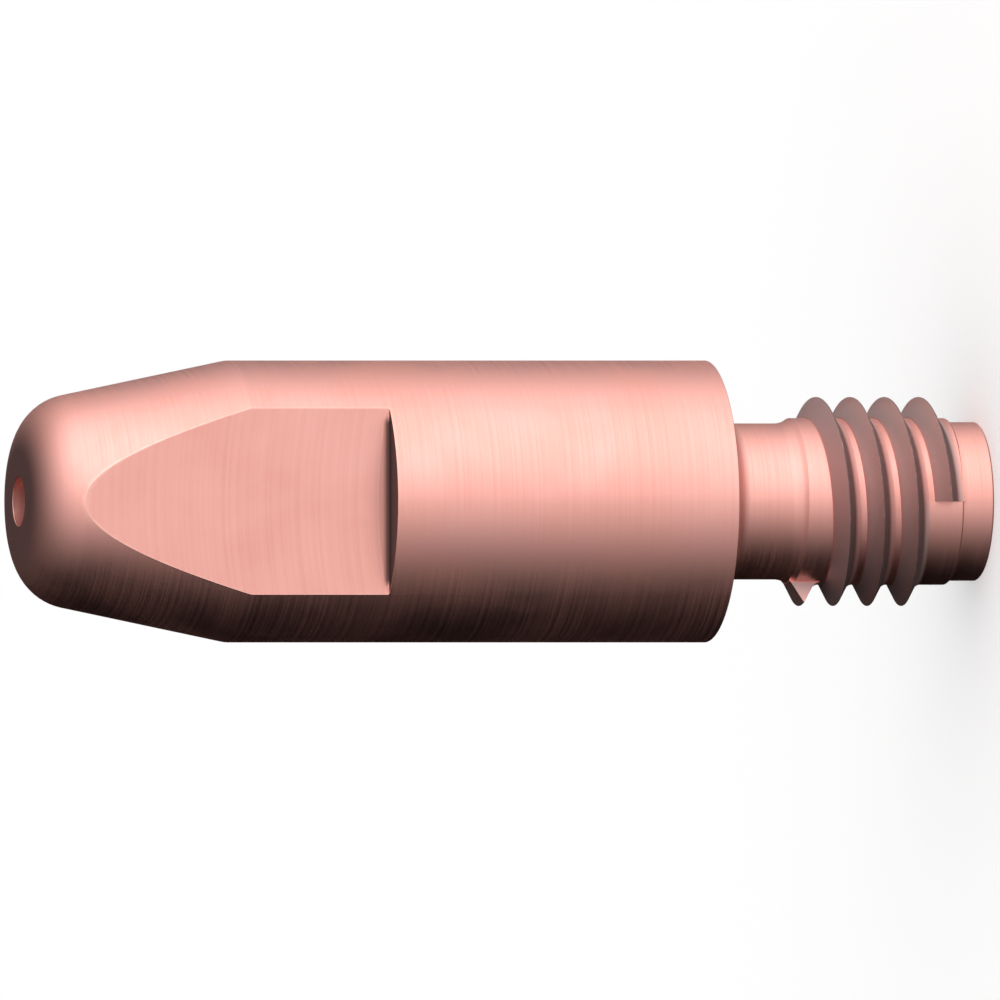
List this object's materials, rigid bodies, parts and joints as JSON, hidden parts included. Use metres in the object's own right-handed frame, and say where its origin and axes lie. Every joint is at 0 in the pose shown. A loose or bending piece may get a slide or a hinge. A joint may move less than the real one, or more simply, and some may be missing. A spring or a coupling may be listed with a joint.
{
  "type": "welding contact tip",
  "caption": "Slim copper welding contact tip: round body with a tapered, rounded nose, a small through bore, spanner flats and a short threaded shank behind a seating shoulder.",
  "frame": {"origin": "on the axis, in the plane of the threaded end's flat face, which the tip stands on", "axes": "+Z along the axis from the threaded end to the nose, -Y square to the front spanner flat"},
  "size_m": [0.008, 0.008, 0.028],
  "materials": {
    "copper": "fine turned, satin, salmon copper"
  },
  "bodies": {
    "root": {"contact_tip": "copper"}
  },
  "joints": []
}
